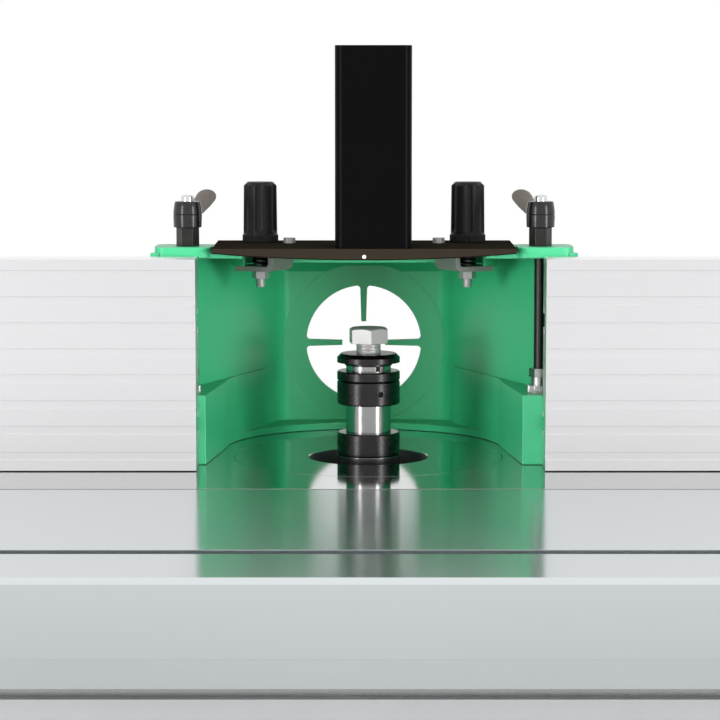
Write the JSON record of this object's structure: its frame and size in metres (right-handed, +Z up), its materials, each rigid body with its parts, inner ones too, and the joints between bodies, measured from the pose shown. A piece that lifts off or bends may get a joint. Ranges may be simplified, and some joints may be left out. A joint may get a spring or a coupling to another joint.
{
  "type": "spindle moulder",
  "caption": "Floor-standing spindle moulder: upright spindle with rings under a green hood, fence plates, guard plate, ground table, sliding table and cabinet with lift and belt drive.",
  "frame": {"origin": "on the floor, under the middle of the machine's bounding box", "axes": "+X to the right along the feed, +Y from the operator to the back, +Z up"},
  "size_m": [1.3, 0.701, 1.164],
  "materials": {
    "green_enamel": "glossy green enamel",
    "dark_paint": "satin dark grey paint",
    "grey_paint": "satin grey paint",
    "ground_iron": "ground and polished top",
    "bright_steel": "ground steel",
    "zinc_steel": "zinc plated",
    "black_steel": "blackened steel",
    "black_coat": "glossy black coating",
    "spring_steel": "blackened spring steel",
    "clip_steel": "plain folded steel",
    "aluminium": "anodised",
    "black_plastic": "glossy black moulding",
    "grey_plastic": "matte grey moulding",
    "start_green": "glossy green moulding",
    "stop_red": "glossy red moulding",
    "rubber": "matte black rubber",
    "bronze": "turned bronze"
  },
  "bodies": {
    "machine_base": {"base_plate": "dark_paint", "levelling_feet": "rubber", "corner_posts": "green_enamel", "front_panel": "green_enamel", "rear_panel": "green_enamel", "left_panel": "green_enamel", "cable_gland": "black_plastic", "door_hinges": "bright_steel", "work_table": "ground_iron", "table_ring": "ground_iron", "guide_posts": "bright_steel", "lift_bridge": "grey_paint", "wheel_bush": "bronze", "control_box": "grey_plastic", "rail_beam": "aluminium", "guide_rods": "bright_steel", "rail_brackets": "dark_paint", "hold_down_bolts": "zinc_steel"},
    "side_door": {"cabinet_door": "green_enamel"},
    "latch": {"door_latch": "black_plastic"},
    "carriage": {"spindle_housing": "grey_paint", "spindle_bearings": "bright_steel", "bearing_cap": "bright_steel", "lift_nut": "bronze", "motor_plate": "dark_paint", "motor_body": "grey_paint", "drive_belt": "rubber"},
    "spindle": {"spindle_shaft": "bright_steel", "spacer_rings": "black_steel", "clamp_collar": "black_steel", "arbor_flange": "black_steel", "arbor_bolt": "zinc_steel", "spindle_pulley": "aluminium"},
    "rotor": {"motor_shaft": "bright_steel", "motor_pulley": "aluminium"},
    "screw": {"lift_screw": "bright_steel", "screw_gear": "bright_steel"},
    "wheel": {"handwheel": "black_plastic", "handwheel_shaft": "bright_steel"},
    "grip": {"crank_grip": "black_plastic"},
    "start": {"start_button": "start_green"},
    "stop": {"stop_button": "stop_red"},
    "sliding": {"sliding_table": "aluminium"},
    "hood": {"hood_base": "green_enamel", "hood_shell": "green_enamel", "dust_spigot": "green_enamel", "clamp_rods": "black_steel", "rod_ferrules": "aluminium", "tee_bolts": "zinc_steel"},
    "lever_left": {"left_lever": "black_plastic"},
    "lever_right": {"right_lever": "black_plastic"},
    "fence_left": {"left_fence": "aluminium"},
    "fence_right": {"right_fence": "aluminium"},
    "guard": {"guard_plate": "black_coat", "guard_post": "black_coat", "guard_clips": "clip_steel", "clip_fasteners": "zinc_steel", "clip_springs": "spring_steel"},
    "knob_left": {"left_knob": "black_plastic"},
    "knob_right": {"right_knob": "black_plastic"}
  },
  "joints": [
    {"name": "door_swing", "type": "hinge", "parent": "machine_base", "child": "side_door", "pos_m": [0.3164, 0.2595, 0.441], "axis": [0, 0, 1], "range_deg": [0, 110]},
    {"name": "latch_turn", "type": "hinge", "parent": "side_door", "child": "latch", "pos_m": [0.31, 0.0415, 0.441], "axis": [1, 0, 0], "range_deg": [0, 90]},
    {"name": "wheel_turn", "type": "hinge", "parent": "machine_base", "child": "wheel", "pos_m": [0, -0.0915, 0.5437], "axis": [0, 1, 0], "range_deg": [-6841, 1441]},
    {"name": "spindle_lift", "type": "slide", "parent": "machine_base", "child": "carriage", "axis": [0, 0, 1], "range_m": [-0.095, 0.02]},
    {"name": "screw_turn", "type": "hinge", "parent": "machine_base", "child": "screw", "pos_m": [0, -0.0105, 0.513], "axis": [0, 0, 1], "range_deg": [-1441, 6841]},
    {"name": "grip_spin", "type": "hinge", "parent": "wheel", "child": "grip", "pos_m": [0, -0.1245, 0.6247], "axis": [0, 1, 0], "continuous": true},
    {"name": "spindle_spin", "type": "hinge", "parent": "carriage", "child": "spindle", "pos_m": [0, 0.0755, 0.89], "axis": [0, 0, 1], "continuous": true},
    {"name": "rotor_spin", "type": "hinge", "parent": "carriage", "child": "rotor", "pos_m": [0, 0.2255, 0.54], "axis": [0, 0, 1], "continuous": true},
    {"name": "start_press", "type": "slide", "parent": "machine_base", "child": "start", "axis": [0, 1, 0], "range_m": [0, 0.003], "stiffness_N_per_m": 900, "springref_m": -0.002},
    {"name": "stop_press", "type": "slide", "parent": "machine_base", "child": "stop", "axis": [0, 1, 0], "range_m": [0, 0.004], "stiffness_N_per_m": 900, "springref_m": -0.003},
    {"name": "table_slide", "type": "slide", "parent": "machine_base", "child": "sliding", "axis": [1, 0, 0], "range_m": [-0.4, 0.4]},
    {"name": "hood_slide", "type": "slide", "parent": "machine_base", "child": "hood", "axis": [0, 1, 0], "range_m": [-0.03, 0.04]},
    {"name": "lever_left_turn", "type": "hinge", "parent": "hood", "child": "lever_left", "pos_m": [-0.119, 0.0535, 1.05], "axis": [0, 0, 1], "range_deg": [-15, 90]},
    {"name": "lever_right_turn", "type": "hinge", "parent": "hood", "child": "lever_right", "pos_m": [0.113, 0.0535, 1.05], "axis": [0, 0, 1], "range_deg": [-90, 15]},
    {"name": "fence_left_slide", "type": "slide", "parent": "hood", "child": "fence_left", "axis": [1, 0, 0], "range_m": [-0.03, 0.03]},
    {"name": "fence_right_slide", "type": "slide", "parent": "hood", "child": "fence_right", "axis": [1, 0, 0], "range_m": [-0.03, 0.03]},
    {"name": "guard_shift", "type": "slide", "parent": "hood", "child": "guard", "axis": [0, 1, 0], "range_m": [-0.02, 0.006]},
    {"name": "knob_left_turn", "type": "hinge", "parent": "guard", "child": "knob_left", "pos_m": [-0.073, 0.0995, 1.05], "axis": [0, 0, 1], "range_deg": [0, 720]},
    {"name": "knob_right_turn", "type": "hinge", "parent": "guard", "child": "knob_right", "pos_m": [0.067, 0.0995, 1.05], "axis": [0, 0, 1], "range_deg": [0, 720]}
  ],
  "couplings": [
    {"joint": "wheel_turn", "follows": "spindle_lift", "rad_per_m": 1256.6},
    {"joint": "screw_turn", "follows": "spindle_lift", "rad_per_m": -1256.6},
    {"joint": "rotor_spin", "follows": "spindle_spin", "ratio": 0.46667}
  ]
}
